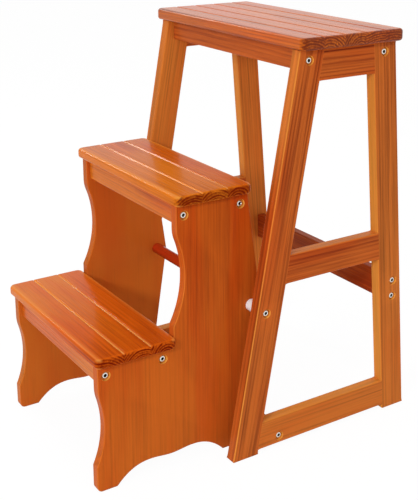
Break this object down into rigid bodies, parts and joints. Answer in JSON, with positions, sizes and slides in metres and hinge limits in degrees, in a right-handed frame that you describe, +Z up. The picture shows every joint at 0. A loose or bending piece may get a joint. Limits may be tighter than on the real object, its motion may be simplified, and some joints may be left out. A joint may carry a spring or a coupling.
{
  "type": "folding step stool",
  "caption": "Wooden folding step stool: an A-shaped frame carries the grooved top step, and a scalloped unit with lower treads hangs on a pivot and turns over backwards into the frame.",
  "frame": {"origin": "on the floor, under the middle of the opened stool's footprint", "axes": "+Z up; +Y the way a person climbs, from the lower tread towards the top step; +X to that person's right, so the stool is mirrored about X = 0"},
  "size_m": [0.418, 0.552, 0.642],
  "materials": {
    "frame_wood": "gloss-varnished orange-brown pine",
    "step_wood": "gloss-varnished orange-brown pine",
    "board_wood": "gloss-varnished red-brown pine",
    "dowel_wood": "gloss-varnished dark red-brown",
    "bolt_steel": "nickel-plated",
    "nut_steel": "zinc-plated",
    "spacer_nylon": "natural white nylon"
  },
  "bodies": {
    "frame": {"top_step": "step_wood", "top_apron_front": "frame_wood", "top_apron_rear": "frame_wood", "rear_cross_rail": "frame_wood", "lower_cross_bar": "frame_wood", "front_leg_left": "frame_wood", "front_leg_right": "frame_wood", "rear_leg_left": "frame_wood", "rear_leg_right": "frame_wood", "top_rail_left": "frame_wood", "top_rail_right": "frame_wood", "middle_rail_left": "frame_wood", "middle_rail_right": "frame_wood", "bottom_rail_left": "frame_wood", "bottom_rail_right": "frame_wood", "pivot_spacer_left": "spacer_nylon", "pivot_spacer_right": "spacer_nylon", "top_bolt_front_left": "bolt_steel", "top_bolt_front_right": "bolt_steel", "top_bolt_rear_left": "bolt_steel", "top_bolt_rear_right": "bolt_steel", "cross_bolt_upper_left": "bolt_steel", "cross_bolt_upper_right": "bolt_steel", "cross_bolt_lower_left": "bolt_steel", "cross_bolt_lower_right": "bolt_steel", "bar_bolt_left": "bolt_steel", "bar_bolt_right": "bolt_steel", "top_screw_front_left": "bolt_steel", "top_screw_front_right": "bolt_steel", "top_screw_rear_left": "bolt_steel", "top_screw_rear_right": "bolt_steel", "top_nut_front_left": "nut_steel", "top_nut_front_right": "nut_steel", "top_nut_rear_left": "nut_steel", "top_nut_rear_right": "nut_steel", "cross_nut_upper_left": "nut_steel", "cross_nut_upper_right": "nut_steel", "cross_nut_lower_left": "nut_steel", "cross_nut_lower_right": "nut_steel", "bar_nut_left": "nut_steel", "bar_nut_right": "nut_steel"},
    "step_unit": {"middle_tread": "step_wood", "lower_tread": "step_wood", "middle_apron_front": "step_wood", "middle_apron_rear": "step_wood", "lower_apron_front": "step_wood", "lower_apron_rear": "step_wood", "side_board_left": "board_wood", "side_board_right": "board_wood", "pivot_dowel": "dowel_wood", "pivot_bolt_left": "bolt_steel", "pivot_bolt_right": "bolt_steel", "middle_bolt_front_left": "bolt_steel", "middle_bolt_front_right": "bolt_steel", "middle_bolt_rear_left": "bolt_steel", "middle_bolt_rear_right": "bolt_steel", "lower_bolt_front_left": "bolt_steel", "lower_bolt_front_right": "bolt_steel", "lower_bolt_rear_left": "bolt_steel", "lower_bolt_rear_right": "bolt_steel"}
  },
  "joints": [
    {"name": "step_fold", "type": "hinge", "parent": "frame", "child": "step_unit", "pos_m": [0, -0.01047, 0.2315], "axis": [-1, 0, 0], "range_deg": [0, 182.5]}
  ]
}
